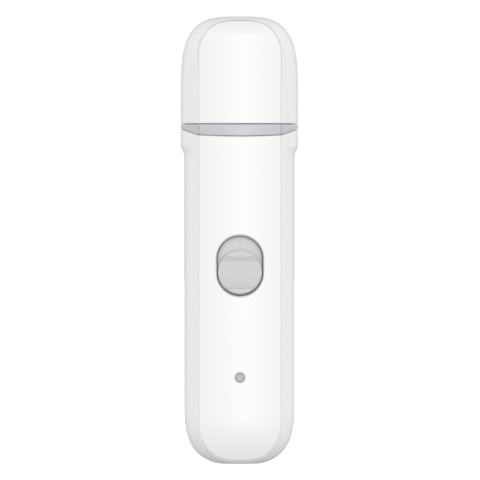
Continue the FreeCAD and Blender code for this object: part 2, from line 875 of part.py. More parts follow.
def add_battery():
    cell = turned("battery_cell", [
        ("0", "cell_bottom"), ("cell_radius", "cell_bottom"),
        ("cell_radius", "cell_bottom + cell_length - 1.6"),
        ("cell_radius - 0.8", "cell_bottom + cell_length - 0.8"),
        ("2.6", "cell_bottom + cell_length - 0.8"), ("2.6", "cell_bottom + cell_length"),
        ("0", "cell_bottom + cell_length"),
    ])
    place(cell, y="cell_middle_depth")
    for name, foot in (("battery_saddle_lower", "26"), ("battery_saddle_upper", "60")):
        block = box(f"{name}_block", "19", "14", "4", "-9.5", "-2.6", foot)
        bore = cylinder(f"{name}_bore", "cell_radius", "6", "0", "cell_middle_depth", f"{foot} - 1")
        throat = box(f"{name}_throat", "11", "8", "6", "-5.5", "cell_middle_depth + 2", f"{foot} - 1")
        keep(cut(name, block, bore, throat), name)
    pad_block = box("battery_pad_block", "8", "0.9", "26", "-4", "12.05", "33")
    pad_bore = cylinder("battery_pad_bore", "cell_radius", "30", "0", "cell_middle_depth", "31")
    keep(cut("battery_pad", pad_block, pad_bore), "battery_pad")
    group(
        "battery_tabs",
        box("tab_top", "5", "8", "0.2", "-2.5", "0", "cell_bottom + cell_length"),
        box("tab_bottom", "5", "8", "0.2", "-2.5", "0", "cell_bottom - 0.2"),
    )


def add_charging():
    plate("charge_board", "-6.4", "6.4", "2.6", "charge_board_top", "0 - socket_depth / 2 - 1", "1")
    plate("charge_chip", "-2", "2", "11", "15", "0 - socket_depth / 2", "0.9")


def socket_shell():
    """The charging socket's folded metal sleeve, closed at the inner end."""
    foot = size("socket_recess")
    top = size("socket_top")
    wall = size("socket_wall")
    outer = slot_prism(size("socket_width"), size("socket_depth"), foot, top)
    width = size("socket_width") - 2 * wall
    inner = slot_prism(width, size("socket_depth") - 2 * wall, foot - 1.0, top - wall)
    return outer.cut(inner)


def socket_tongue():
    """The contact tongue, which starts a little way inside the sleeve."""
    width = 6.6
    thickness = 0.7
    foot = size("socket_recess") + 0.8
    height = size("socket_top") - size("socket_wall") - foot
    return Part.makeBox(width, thickness, height, Vector(-width / 2, -thickness / 2, foot))


# ---------------------------------------------------------------- motor, deck, work light


def flat_sided(name, radius, half_flat, bottom, height):
    """A can section: round left and right, flat front and back."""
    rod = cylinder(f"{name}_rod", radius, height, z=bottom)
    flats = box(f"{name}_flats", f"2 * ( {radius} )", f"2 * ( {half_flat} )", height,
                f"0 - ( {radius} )", f"0 - ( {half_flat} )", bottom)
    both = doc.addObject("Part::Common", name)
    both.Base = rod
    both.Tool = flats
    return both


def add_motor():
    can_foot = "motor_bottom + 2"
    can_height = f"motor_top - ( {can_foot} )"
    outside = flat_sided("can_outside", "motor_radius", "motor_half_flat", can_foot, can_height)
    inside = flat_sided("can_inside", "motor_radius - motor_wall", "motor_half_flat - motor_wall", can_foot,
                        f"motor_top - motor_wall - ( {can_foot} )")
    bore = cylinder("can_bore", "2.6", "5", z="motor_top - 3")
    threads = [
        cylinder(f"can_thread_{number}", "0.95", "5", x, "0", "motor_top - 3")
        for number, x in enumerate(("0 - motor_screw_spread", "motor_screw_spread"))
    ]
    keep(cut("motor_can", outside, inside, bore, *threads), "motor_can")
    cap = flat_sided("end_cap_disc", "motor_radius", "motor_half_flat", "motor_bottom", "2")
    keep(cut("motor_end_cap", cap, cylinder("end_cap_bore", "2", "5", z="motor_bottom - 1")), "motor_end_cap")
    turned("motor_bush_rear", [("shaft_radius + 0.03", "motor_bottom"), ("2", "motor_bottom"),
                               ("2", "motor_bottom + 2"), ("shaft_radius + 0.03", "motor_bottom + 2")])
    turned("motor_bush_front", [("shaft_radius + 0.03", "motor_top - 2.2"), ("2.6", "motor_top - 2.2"),
                                ("2.6", "motor_top"), ("shaft_radius + 0.03", "motor_top")])
    ring = cut("magnet_ring", cylinder("magnet_outer", "motor_radius - motor_wall", "20", z="80"),
               cylinder("magnet_inner", "7.1", "24", z="78"))
    window = box("magnet_window", "24", "10", "20", "-12", "-5", "80")
    magnets = doc.addObject("Part::Common", "motor_magnets")
    magnets.Base = ring
    magnets.Tool = window
    keep(magnets, "motor_magnets")
    group("motor_brushes",
          box("brush_left", "4", "1.6", "2.4", "-6.5", "-0.8", "motor_bottom + 2.6"),
          box("brush_right", "4", "1.6", "2.4", "2.5", "-0.8", "motor_bottom + 2.6"))
    group("motor_terminals",
          box("terminal_left", "1.6", "0.4", "3.4", "-6.8", "-4.2", "motor_bottom - 3.4"),
          box("terminal_right", "1.6", "0.4", "3.4", "5.2", "-4.2", "motor_bottom - 3.4"))
    height = "motor_rib_height"
    for name, foot in (("motor_ring_lower", "motor_rib_lower"), ("motor_ring_upper", "motor_rib_upper")):
        sleeve = cylinder(f"{name}_rod", "motor_radius + 1", height, z=foot)
        bore = flat_sided(f"{name}_bore", "motor_radius", "motor_half_flat", foot, height)
        keep(cut(name, sleeve, bore), name)


def deck_plate():
    """The deck that closes the handle's mouth, with a boss round the shaft and a seat for the lamp."""
    bottom = size("motor_top")
    top = bottom + size("deck_thickness")
    deck = fit_form.common(slab(bottom, top))
    boss = Part.makeCylinder(size("deck_boss_radius"), size("deck_boss_top") - bottom, Vector(0, 0, bottom))
    shaft_way = Part.makeCylinder(1.6, 10.0, Vector(0, 0, bottom - 1.0))
    seal_seat = Part.makeCylinder(3.2, 3.0, Vector(0, 0, top))
    lamp_way = Part.makeCylinder(1.55, 10.0, Vector(0, -size("lamp_offset"), bottom - 1.0))
    spread = size("motor_screw_spread")
    screw_ways = [Part.makeCylinder(1.05, 10.0, Vector(x, 0, bottom - 1.0)) for x in (-spread, spread)]
    return deck.fuse(boss).cut([shaft_way, seal_seat, lamp_way] + screw_ways).removeSplitter()


def add_deck_fittings():
    turned("shaft_seal", [("shaft_radius + 0.05", "motor_top + 2"), ("3.2", "motor_top + 2"),
                          ("3.2", "deck_boss_top - 0.3"), ("shaft_radius + 0.05", "deck_boss_top - 0.6")])
    lens = turned("lamp_lens", [
        ("0", "motor_top + 0.9"), ("1.5", "motor_top + 0.9"), ("1.5", "motor_top + 3"),
        ("1.25", "motor_top + 3.8"), ("0.7", "motor_top + 4.3"), ("0", "motor_top + 4.45"),
    ])
    place(lens, y="0 - lamp_offset")
    lamp = turned("lamp_led", [("0", "motor_top"), ("1.2", "motor_top"), ("1.2", "motor_top + 0.8"),
                               ("0", "motor_top + 0.8")])
    place(lamp, y="0 - lamp_offset")
    screws = []
    for number, x in enumerate(("0 - motor_screw_spread", "motor_screw_spread")):
        head = cylinder(f"motor_screw_head_{number}", "1.7", "1.2", x, "0", "motor_top + deck_thickness")
        thread = cylinder(f"motor_screw_thread_{number}", "0.9", "deck_thickness + 2.4", x, "0",
                          "motor_top - 2.4")
        drive = box(f"motor_screw_drive_{number}", "2", "0.45", "1", f"{x} - 1", "-0.22",
                    "motor_top + deck_thickness + 0.6")
        screws.append(cut(f"motor_screw_{number}", fuse(f"motor_screw_blank_{number}", head, thread), drive))
    group("motor_screws", *screws)


# ---------------------------------------------------------------- wiring


def wire_along(points, radius, bend):
    """One insulated wire: straight runs joined by tangent arcs of one bend radius."""
    edges = []
    start = points[0]
    for before, corner, after in zip(points, points[1:], points[2:]):
        inward = (before - corner).normalize()
        onward = (after - corner).normalize()
        turn = math.pi - inward.getAngle(onward)
        reach = bend * math.tan(turn / 2)
        arc_start = corner + inward * reach
        arc_end = corner + onward * reach
        centre = corner + (inward + onward).normalize() * (bend / math.cos(turn / 2))
        middle = centre + (corner - centre).normalize() * bend
        edges.append(line(start, arc_start))
        edges.append(Part.Arc(arc_start, middle, arc_end).toShape())
        start = arc_end
    edges.append(line(start, points[-1]))
    path = Part.Wire(edges)
    circle = Part.Circle(points[0], points[1] - points[0], radius).toShape()
    tube = path.makePipeShell([Part.Wire(circle)], True, False)
    expected = math.pi * radius ** 2 * path.Length
    if abs(tube.Volume - expected) > 0.02 * expected:
        raise RuntimeError("a wire does not fill its own length")
    return tube


def wire_pair(spread, route, radius, bend):
    """The same route left and right of the middle."""
    return Part.makeCompound([
        wire_along([Vector(side * spread, y, z) for y, z in route], radius, bend) for side in (-1, 1)
    ])


def add_wiring():
    board_back = -(size("board_front") - size("board_thickness"))
    terminal_foot = size("motor_bottom") - 3.4
    motor_route = [(-4.0, terminal_foot), (-4.0, 62.5), (board_back, 62.5)]
    solid_feature("motor_leads", wire_pair(6.0, motor_route, 0.5, 1.0))
    board_face = size("socket_depth") / 2
    charge_route = [(board_face, 16.6), (-3.2, 16.6), (-3.2, 29.0), (board_back, 29.0)]
    solid_feature("charge_leads", wire_pair(4.6, charge_route, 0.45, 1.2))
    cell_end = size("cell_bottom") + size("cell_length") + 0.2
    cell_route = [(1.0, cell_end + 0.45), (-3.4, cell_end + 0.45), (-3.4, 58.5), (board_back, 58.5)]
    solid_feature("battery_lead", wire_along([Vector(0, y, z) for y, z in cell_route], 0.45, 1.2))


# ---------------------------------------------------------------- spindle


def add_spindle():
    turned("motor_shaft", [("0", "shaft_bottom"), ("shaft_radius", "shaft_bottom"),
                           ("shaft_radius", "shaft_top"), ("0", "shaft_top")])
    core = new_body("rotor_core")
    disc = new_sketch(core, "XY_Plane", "core_bottom")
    draw_circle(disc, "6.5")
    draw_circle(disc, "shaft_radius")
    pad(core, disc, "core_length")
    doc.recompute()
    slot_sketch = new_sketch(core, "XY_Plane", "core_bottom")
    draw_rectangle(slot_sketch, "-0.6", "0.6", "2.6", "7.5")
    slot = core.newObject("PartDesign::Pocket", "rotor_slot")
    slot.Profile = slot_sketch
    slot.setExpression("Length", bound("core_length"))
    slot.Reversed = True
    pattern = core.newObject("PartDesign::PolarPattern", "rotor_slots")
    pattern.Originals = [slot]
    pattern.Axis = (slot_sketch, ["N_Axis"])
    pattern.Angle = 360
    pattern.Occurrences = 3
    core.Tip = pattern
    coils = []
    for number, foot in enumerate(("81", "97.05")):
        ring = cylinder(f"coil_rod_{number}", "5.9", "1.95", z=foot)
        coils.append(cut(f"coil_{number}", ring, cylinder(f"coil_bore_{number}", "2", "4", z=f"{foot} - 1")))
    group("rotor_coils", *coils)
    turned("commutator", [("shaft_radius", "motor_bottom + 2.3"), ("2.4", "motor_bottom + 2.3"),
                          ("2.4", "motor_bottom + 6"), ("shaft_radius", "motor_bottom + 6")])
    turned("drum_hub", [
        ("shaft_radius", "hub_bottom"), ("hub_radius + 0.4", "hub_bottom"),
        ("hub_radius + 1.7", "hub_bottom + 0.5"), ("hub_radius + 1.7", "sleeve_bottom"),
        ("hub_radius", "sleeve_bottom"), ("hub_radius", "hub_top"), ("shaft_radius", "hub_top"),
    ])
    turned("abrasive_sleeve", [("hub_radius", "sleeve_bottom"), ("sleeve_radius", "sleeve_bottom"),
                               ("sleeve_radius", "sleeve_top"), ("hub_radius", "sleeve_top")])
    screw = turned("drum_screw", [("0", "shaft_top + 0.1"), ("shaft_radius - 0.03", "shaft_top + 0.1"),
                                  ("shaft_radius - 0.03", "hub_top"), ("2.7", "hub_top"),
                                  ("2.7", "hub_top + 0.7"), ("2.1", "hub_top + 1.3"), ("0", "hub_top + 1.3")])
    drive = new_sketch(screw, "XY_Plane", "hub_top + 1.3")
    draw_rectangle(drive, "-1.6", "1.6", "-0.3", "0.3")
    pocket(screw, drive, "0.7")


solid_feature("slide_button", slide_button())
add_carriage()
add_slide_switch()
add_main_board()
group("board_screws", board_screw(0, "0 - post_spread"), board_screw(1, "post_spread"))
group("casing_screws", casing_screw(0, "-1"), casing_screw(1, "1"))
add_indicator()
add_battery()
add_charging()
solid_feature("charge_socket", socket_shell())
solid_feature("charge_tongue", socket_tongue())
add_motor()
solid_feature("deck_plate", deck_plate())
add_deck_fittings()
add_wiring()
add_spindle()

# ---------------------------------------------------------------- check and write

doc.recompute()
failed = [item.Label for item in doc.Objects if {"Invalid", "Error"} & set(item.State)]
if failed:
    raise RuntimeError(f"features that failed: {failed}")
os.makedirs("parts", exist_ok=True)
for piece in NODES:
    shape = piece.Shape
    if shape.isNull() or not shape.isValid() or not shape.Solids:
        raise RuntimeError(f"{piece.Label}: no valid solid")
for piece in NODES:
    piece.Shape.exportStep(f"parts/{piece.Label}.step")
    print(f"{piece.Label}: {len(piece.Shape.Solids)} solid(s), {piece.Shape.Volume:.1f} mm3")
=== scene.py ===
import json
import math

import bmesh
import bpy
import numpy as np
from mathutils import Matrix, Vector, noise


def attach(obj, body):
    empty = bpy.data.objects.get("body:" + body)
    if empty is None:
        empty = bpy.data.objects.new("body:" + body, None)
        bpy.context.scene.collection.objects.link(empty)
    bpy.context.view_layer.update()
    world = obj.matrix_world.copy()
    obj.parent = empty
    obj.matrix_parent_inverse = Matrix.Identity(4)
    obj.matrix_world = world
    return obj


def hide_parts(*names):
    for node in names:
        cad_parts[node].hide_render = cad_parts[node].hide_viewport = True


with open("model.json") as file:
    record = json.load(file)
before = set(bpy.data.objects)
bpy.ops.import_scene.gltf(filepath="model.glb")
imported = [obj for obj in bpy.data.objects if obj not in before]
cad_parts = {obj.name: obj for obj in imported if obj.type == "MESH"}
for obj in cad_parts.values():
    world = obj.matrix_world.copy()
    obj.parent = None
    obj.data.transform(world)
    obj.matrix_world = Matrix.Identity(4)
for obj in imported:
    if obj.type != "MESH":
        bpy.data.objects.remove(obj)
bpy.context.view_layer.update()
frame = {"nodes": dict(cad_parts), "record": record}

# Lengths of the pieces are millimetres in the part's own frame: +Z up along the grip, the switch faces -Y.
MM = 0.001

# ---------------------------------------------------------------- driving dimensions

TOTAL_HEIGHT = 148.0
HEAD_HALF_WIDTH = 19.4
HANDLE_HALF_WIDTH = 18.25
CREASE_HALF_WIDTH = 14.0
HALF_DEPTH = 15.0
PANEL_RADIUS = 72.0
RIM_RADIUS = 58.0
TOP_END_HEIGHT = 26.9
TOP_EXPONENT = 3.42
CREASE_TOP_END_HEIGHT = 13.7
CREASE_TOP_EXPONENT = 2.65
TOP_ROLL = 141.0
TOP_ROLL_HEIGHT = 9.1
STAND_FLAT_DEPTH = 0.4
BOTTOM_BASE = 20.0 - STAND_FLAT_DEPTH
BOTTOM_EXPONENT = 2.85
CREASE_BOTTOM_BASE = 15.6
CREASE_BOTTOM_EXPONENT = 2.2
BOTTOM_ROLL = 16.0
BOTTOM_ROLL_HEIGHT = 23.1
COLLAR_TOP = 105.2
COLLAR_BOTTOM = 101.4
COLLAR_UPPER_PULL = 0.22
COLLAR_LOWER_PULL = 0.5
MOUTH_CREST = 110.6
MOUTH_RADIUS = 45.4
CAP_EDGE = 112.45
SHELL_WALL = 1.8
CAP_WALL = 1.5
GUARD_WALL = 1.3
SEAM_GAP = 0.15
SLIP_GAP = 0.2

NOSE_HALF_WIDTH = 15.6
NOSE_HALF_DEPTH = 11.9
NOSE_TOP = 139.0
NOSE_END_HEIGHT = 15.0
NOSE_EXPONENT = 2.6
NOSE_CREASE_INSET = 1.0
NOSE_FLANK_RISE = 4.6
NOSE_ROLL = NOSE_TOP - 9.0
NOSE_ROLL_HEIGHT = 9.6
SPIGOT_FOOT = 106.6
GRIP_HEIGHT = 2.6
PORT_HALF_WIDTH = 6.25
PORT_BOTTOM = 117.0
PORT_TOP = 133.0
TOP_PORT_RADIUS = 4.6

SWITCH_MIDDLE = 65.455
SWITCH_HALF_WIDTH = 7.55
SWITCH_HALF_STRAIGHT = 2.375
INDICATOR_HEIGHT = 28.65
INDICATOR_RADIUS = 1.75
SCREW_SPREAD = 9.6
SCREW_HEIGHT = 14.0
SCREW_RECESS_RADIUS = 2.0
SCREW_SEAT = 11.4
SCREW_WAY_RADIUS = 1.1
SCREW_BOSS_RADIUS = 2.6
SCREW_BOSS_END = 9.6
SOCKET_MOUTH_HALF_WIDTH = 4.72
SOCKET_MOUTH_HALF_DEPTH = 1.85
SOCKET_MOUTH_LENGTH = 6.0

SLEEVE_BOTTOM = 115.2
SLEEVE_TOP = 130.0
SLEEVE_RADIUS = 4.9
SLEEVE_EDGE = 0.3
SLEEVE_BORE_RADIUS = 3.62


# ---------------------------------------------------------------- outer forms


def crowned(reach, radius, inset, offset):
    """Distance of a crowned surface from the middle: an arc whose crest is at reach, moved in by inset."""
    return reach - radius + math.sqrt(max(0.0, (radius - inset) ** 2 - offset ** 2))


def arc_radius(half_chord, rise):
    return (half_chord ** 2 + rise ** 2) / (2 * rise)


class Form:
    """A closed form with rounded flanks and ends, and a front and a rear panel that roll over at the ends.
    An end is its height and the exponent of its superellipse: at mid depth, and at the crease."""

    def __init__(self, widths, flank_radii, half_depth, top, end, crease_end, roll, rolls_below=False):
        self.widths = widths
        self.flank_radii = flank_radii
        self.half_depth = half_depth
        self.top = top
        self.top_base = top - end[0]
        self.exponent = end[1]
        self.crease_base = top - crease_end[0]
        self.crease_exponent = crease_end[1]
        self.roll, self.roll_height = roll
        self.rolls_below = rolls_below

    def flank(self, depth, inset, collar=0.0):
        """Half width at one depth; collar goes from 0 at the head to 1 at the handle."""
        head, handle = [crowned(w, r, inset, depth) for w, r in zip(self.widths, self.flank_radii)]
        return head + (handle - head) * collar

    def panel(self, across, height, inset):
        """Depth of the front or rear panel."""
        half = crowned(self.half_depth, PANEL_RADIUS, inset, across)
        rolled = 0.0
        if height > self.roll:
            rolled = (height - self.roll) / (self.roll_height - inset)
        if self.rolls_below and height < BOTTOM_ROLL:
            rolled = (BOTTOM_ROLL - height) / (BOTTOM_ROLL_HEIGHT - inset)
        return half * math.sqrt(max(0.0, 1 - rolled ** 2))


CREASE_DEPTH = crowned(HALF_DEPTH, PANEL_RADIUS, 0, CREASE_HALF_WIDTH)
CASING_WIDTHS = (HEAD_HALF_WIDTH, HANDLE_HALF_WIDTH)
CASING_FLANKS = [arc_radius(CREASE_DEPTH, width - CREASE_HALF_WIDTH) for width in CASING_WIDTHS]
CASING = Form(CASING_WIDTHS, CASING_FLANKS, HALF_DEPTH, TOTAL_HEIGHT, (TOP_END_HEIGHT, TOP_EXPONENT),
              (CREASE_TOP_END_HEIGHT, CREASE_TOP_EXPONENT), (TOP_ROLL, TOP_ROLL_HEIGHT), rolls_below=True)
NOSE_END = (NOSE_END_HEIGHT, NOSE_EXPONENT)
NOSE_FLANK = arc_radius(NOSE_HALF_DEPTH - NOSE_CREASE_INSET, NOSE_FLANK_RISE)
NOSE = Form((NOSE_HALF_WIDTH,) * 2, (NOSE_FLANK,) * 2, NOSE_HALF_DEPTH, NOSE_TOP, NOSE_END, NOSE_END,
            (NOSE_ROLL, NOSE_ROLL_HEIGHT))


def mouth_rise(depth):
    """How far the arched mouth stands above its lowest line at one depth."""
    return math.sqrt(MOUTH_RADIUS ** 2 - depth ** 2) - math.sqrt(MOUTH_RADIUS ** 2 - HALF_DEPTH ** 2)


MOUTH_LOW = MOUTH_CREST - mouth_rise(0)


class Level:
    """A line round a form at one height; `arch` is how much it follows the mouth's arch."""

    def __init__(self, height, inset=0.0, arch=0.0, collar=0.0, form=CASING):
        self.height = height
        self.inset = inset
        self.arch = arch
        self.collar = collar
        self.form = form

    def point(self, depth, sunk=0.0):
        across = self.form.flank(depth, self.inset + sunk, self.collar)
        return across, self.height + self.arch * mouth_rise(depth)

    def spine(self):
        return self.height + self.arch * mouth_rise(self.form.panel(0, self.height, self.inset))

    def panel_height(self, across, spoke_height):
        """Height on the panel at one distance across. The line follows the arch, not a straight spoke."""
        return self.height + self.arch * mouth_rise(self.form.panel(across, self.height, self.inset))


FINE_ANGLES = np.linspace(0, math.pi / 2, 161)


def end_point(half_width, foot, base, tip, exponent, share):
    """A point part of the way along an end's outline: straight from foot to base, then a superellipse
    to the tip."""
    if share >= 1:
        return 0.0, tip
    straight = abs(base - foot)
    across = half_width * np.cos(FINE_ANGLES).clip(0) ** (2 / exponent)
    along = abs(tip - base) * np.sin(FINE_ANGLES) ** (2 / exponent)
    run = np.concatenate([[0], np.cumsum(np.hypot(np.diff(across), np.diff(along)))])
    reach = share * (straight + run[-1])
    if reach <= straight:
        return half_width, foot + math.copysign(reach, tip - base)
    angle = float(np.interp(reach - straight, run, FINE_ANGLES))
    power = 2 / exponent
    return half_width * math.cos(angle) ** power, base + (tip - base) * math.sin(angle) ** power


class Spoke:
    """A line across one rounded end, at one share of the way along its outline: 0 at the side, 1 at the tip.
    The outline changes from mid depth to the crease."""

    def __init__(self, share, inset=0.0, form=CASING, top=True):
        self.share = share
        self.inset = inset
        self.form = form
        self.top = top

    def point(self, depth, sunk=0.0):
        inset = self.inset + sunk
        form = self.form
        near_crease = (depth / CREASE_DEPTH) ** 2

        def towards_crease(at_middle, at_crease):
            return at_middle + (at_crease - at_middle) * near_crease

        if self.top:
            foot = form.top_base
            half_width = form.flank(depth, inset)
            base = towards_crease(foot, form.crease_base)
            exponent = towards_crease(form.exponent, form.crease_exponent)
            tip = crowned(form.top, RIM_RADIUS, inset, depth)
        else:
            foot = BOTTOM_BASE
            half_width = form.flank(depth, inset, 1.0)
            base = towards_crease(foot, CREASE_BOTTOM_BASE)
            exponent = towards_crease(BOTTOM_EXPONENT, CREASE_BOTTOM_EXPONENT)
            tip = -crowned(STAND_FLAT_DEPTH, RIM_RADIUS, inset, depth)
        across, height = end_point(half_width, foot, base, tip, exponent, self.share)
        return across, max(0.0, height)

    def spine(self):
        return self.form.top_base if self.top else BOTTOM_BASE

    def panel_height(self, across, spoke_height):
        """Height on the panel: the line stays straight."""
        return spoke_height


def even_shares(count):
    return [(step + 1) / count for step in range(count)]


END_SHARES = even_shares(36)
NOSE_SHARES = even_shares(22)

# Across the panel, from the middle to the fine groove beside the crease, then round the crease and the flank.
PANEL_STEPS = [float(x) for x in np.linspace(0, 12.0, 15)] + [12.6, 13.05, 13.3]
CREASE_MARGIN = CREASE_HALF_WIDTH - PANEL_STEPS[-1]
# The groove as pairs of distance from the crease and depth. END_GROOVE is how much it deepens at the tips,
# as a share of those depths.
GROOVE = [(0.60, 0.0), (0.56, 0.03), (0.49, 0.20), (0.43, 0.37),
          (0.33, 0.37), (0.27, 0.20), (0.20, 0.03), (0.16, 0.0)]
END_GROOVE = 1.6
CREASE_ROUND = 0.16
FLANK_ROUND = 1.3
PROBE_STEP = 0.1
SLOPE_STEP = 0.01
FLANK_STEPS = 12
SEAM_HALF = 0.14
SEAM_DEPTH = 0.14


def crease_depth(row):
    """Depth at which the flank meets the panel on this line."""
    low, high = 0.0, row.form.half_depth - row.inset
    for _ in range(40):
        middle = (low + high) / 2
        across, height = row.point(middle)
        if row.form.panel(across, height, row.inset) > middle:
            low = middle
        else:
            high = middle
    return low


def section(row, groove=1.0, seam=0.0):
    """Points of one line from the middle of the front panel round the crease to mid depth, at x >= 0."""
    depth = crease_depth(row)
    corner_x, corner_z = row.point(depth)
    corner = Vector((corner_x, -depth, corner_z))
    spine_z = row.spine()
    reach = math.hypot(corner_x, corner_z - spine_z) if isinstance(row, Spoke) else corner_x
    towards_tip = row.share if isinstance(row, Spoke) else 0.0
    deeper = 1 + END_GROOVE * towards_tip ** 3
    lean = 1 - towards_tip ** 2

    def on_panel(run, sunk=0.0):
        share = run / reach
        across = corner_x * share
        height = row.panel_height(across, spine_z + (corner_z - spine_z) * share)
        point = Vector((across, -row.form.panel(across, height, row.inset), height))
        if sunk:
            slope_x = (row.form.panel(across + SLOPE_STEP, height, row.inset) + point.y) / SLOPE_STEP
            slope_z = (row.form.panel(across, height + SLOPE_STEP, row.inset) + point.y) / SLOPE_STEP
            point += Vector((slope_x * lean, 1.0, slope_z * lean)).normalized() * sunk
        return point

    def on_flank(at_depth, sunk=0.0):
        across, height = row.point(at_depth, sunk)
        return Vector((across, -at_depth, height))

    last = reach - CREASE_MARGIN
    points = [on_panel(step / PANEL_STEPS[-1] * last) for step in PANEL_STEPS]
    points += [on_panel(reach - back, sunk * groove * deeper) for back, sunk in GROOVE]
    start = points[-1]
    probe = on_flank(depth - PROBE_STEP)
    end_depth = depth - PROBE_STEP * CREASE_ROUND * FLANK_ROUND / max(1e-6, (probe - corner).length)
    end = on_flank(end_depth)
    for share in (0.33, 0.67):
        points.append(start.lerp(corner, share).lerp(corner.lerp(end, share), share))
    points.append(end)
    stop = SEAM_HALF if seam else 0.0
    for share in [0.02, 0.06] + [step / FLANK_STEPS for step in range(1, FLANK_STEPS + 1)]:
        points.append(on_flank(end_depth + (stop - end_depth) * share))
    if seam:
        points.append(on_flank(SEAM_HALF * 0.6, SEAM_DEPTH * 0.4 * seam))
        points.append(on_flank(SEAM_HALF * 0.3, SEAM_DEPTH * seam))
        points.append(on_flank(0.0, SEAM_DEPTH * seam))
    return points


# ---------------------------------------------------------------- mesh building


def finish_edges(mesh, sharp):
    """Smooth shading with hard edges above an angle, and all normals outwards."""
    work = bmesh.new()
    work.from_mesh(mesh)
    bmesh.ops.recalc_face_normals(work, faces=work.faces)
    limit = math.radians(sharp)
    for face in work.faces:
        face.smooth = True
    for edge in work.edges:
        edge.smooth = len(edge.link_faces) == 2 and edge.calc_face_angle(0.0) < limit
    work.to_mesh(mesh)
    work.free()


class Skin:
    """Collects faces as point loops, in millimetres, and welds them into one mesh."""

    def __init__(self):
        self.faces = []

    def add(self, *points):
        self.faces.append([tuple(p) for p in points])

    def strip(self, first, second):
        for a, b, c, d in zip(first, first[1:], second[1:], second):
            self.add(a, b, c, d)

    def closed_strip(self, first, second):
        self.strip(first + first[:1], second + second[:1])

    def mirrored(self, axis):
        """Add the mirror image of everything collected so far."""
        flip = [-1 if number == axis else 1 for number in range(3)]
        for face in list(self.faces):
            self.faces.append([tuple(c * s for c, s in zip(p, flip)) for p in reversed(face)])

    def build(self, name, sharp=35.0):
        mesh = bpy.data.meshes.new(name)
        index = {}
        faces = []
        for face in self.faces:
            loop = []
            for p in face:
                number = index.setdefault(tuple(round(c, 4) + 0.0 for c in p), len(index))
                if number not in loop:
                    loop.append(number)
            if len(loop) > 2:
                faces.append(loop)
        mesh.from_pydata([[c * MM for c in key] for key in index], [], faces)
        finish_edges(mesh, sharp)
        piece = bpy.data.objects.new(name, mesh)
        bpy.context.scene.collection.objects.link(piece)
        return piece


def grid(skin, rows, holes=()):
    """Quads between neighbouring lines, without the cells of each hole: first and last row, first and last
    column."""
    for i, (upper, lower) in enumerate(zip(rows, rows[1:])):
        for j in range(len(upper) - 1):
            if any(a <= i < b and c <= j < d for a, b, c, d in holes):
                continue
            skin.add(upper[j], upper[j + 1], lower[j + 1], lower[j])


def block_border(rows, hole):
    """The loop of grid points round a block of cells; one that starts at the middle line straddles it."""
    first, last, low, high = hole
    top = [rows[first][j] for j in range(low, high + 1)]
    side = [rows[i][high] for i in range(first + 1, last + 1)]
    bottom = [rows[last][j] for j in range(high - 1, low - 1, -1)]
    if low == 0:
        right = top + side + bottom
        return right + [Vector((-p.x, p.y, p.z)) for p in reversed(right)][1:-1]
    return top + side + bottom + [rows[i][low] for i in range(last - 1, first, -1)]


def block_round(rows, centre, reach_x, reach_z):
    """The smallest block of cells that holds a window round a point, with a cell to spare."""
    inside_rows, inside_columns = [], []
    for i, line in enumerate(rows):
        for j, p in enumerate(line):
            if p.y < -1 and abs(p.x - centre[0]) < reach_x and abs(p.z - centre[1]) < reach_z:
                inside_rows.append(i)
                inside_columns.append(j)
    low = 0 if centre[0] == 0 else min(inside_columns) - 1
    return min(inside_rows) - 1, max(inside_rows) + 1, low, max(inside_columns) + 1


def slot_edge(direction, radius, half_straight):
    """Where a ray from the middle of an upright slot meets its outline."""
    dx, dz = direction
    if abs(dx) > 1e-9 and abs(dz) * radius <= half_straight * abs(dx):
        return math.copysign(radius, dx), radius * dz / abs(dx)
    centre = math.copysign(half_straight, dz)
    along = centre * dz
    reach = along + math.sqrt(along ** 2 - centre ** 2 + radius ** 2)
    return dx * reach, dz * reach


def patch(skin, border, hole, inset, lip, rings=7, split=False):
    """Fill between a border loop and a hole, then follow the lip into it. The lip is pairs of offset from the
    hole's outline and depth below the panel. Split doubles the points."""
    (cx, cz), radius, half_straight = hole
    points = list(border)
    if split:
        points = [p for a, b in zip(border, border[1:] + border[:1]) for p in (a, a.lerp(b, 0.5))]
    rays = [Vector((p.x - cx, p.z - cz)).normalized() for p in points]

    def outline(offset):
        return [slot_edge(ray, radius + offset, half_straight) for ray in rays]

    before = points
    for ring in range(1, rings + 1):
        share = 1 - (1 - ring / rings) ** 1.6
        loop = []
        for p, (ex, ez) in zip(points, outline(lip[0][0])):
            x = p.x + (cx + ex - p.x) * share
            z = p.z + (cz + ez - p.z) * share
            loop.append(Vector((x, -CASING.panel(x, z, inset), z)))
        if split and ring == 1:
            around = loop + loop[:1]
            for n, (a, b) in enumerate(zip(border, border[1:] + border[:1])):
                skin.add(a, b, around[2 * n + 2], around[2 * n + 1], around[2 * n])
        else:
            skin.closed_strip(before, loop)
        before = loop
    for offset, sunk in lip[1:]:
        loop = []
        for ex, ez in outline(offset):
            x, z = cx + ex, cz + ez
            loop.append(Vector((x, sunk - CASING.panel(x, z, inset), z)))
        skin.closed_strip(before, loop)
        before = loop
    return before


def cut_with(piece, cutter, sharp=35.0):
    """Take the cutter's volume out of a piece, with the result applied."""
    change = piece.modifiers.new("cut", "BOOLEAN")
    change.operation = "DIFFERENCE"
    change.solver = "EXACT"
    change.object = cutter
    bpy.context.view_layer.update()
    graph = bpy.context.evaluated_depsgraph_get()
    result = bpy.data.meshes.new_from_object(piece.evaluated_get(graph))
    piece.modifiers.clear()
    piece.data = result
    finish_edges(result, sharp)
    bpy.data.objects.remove(cutter)


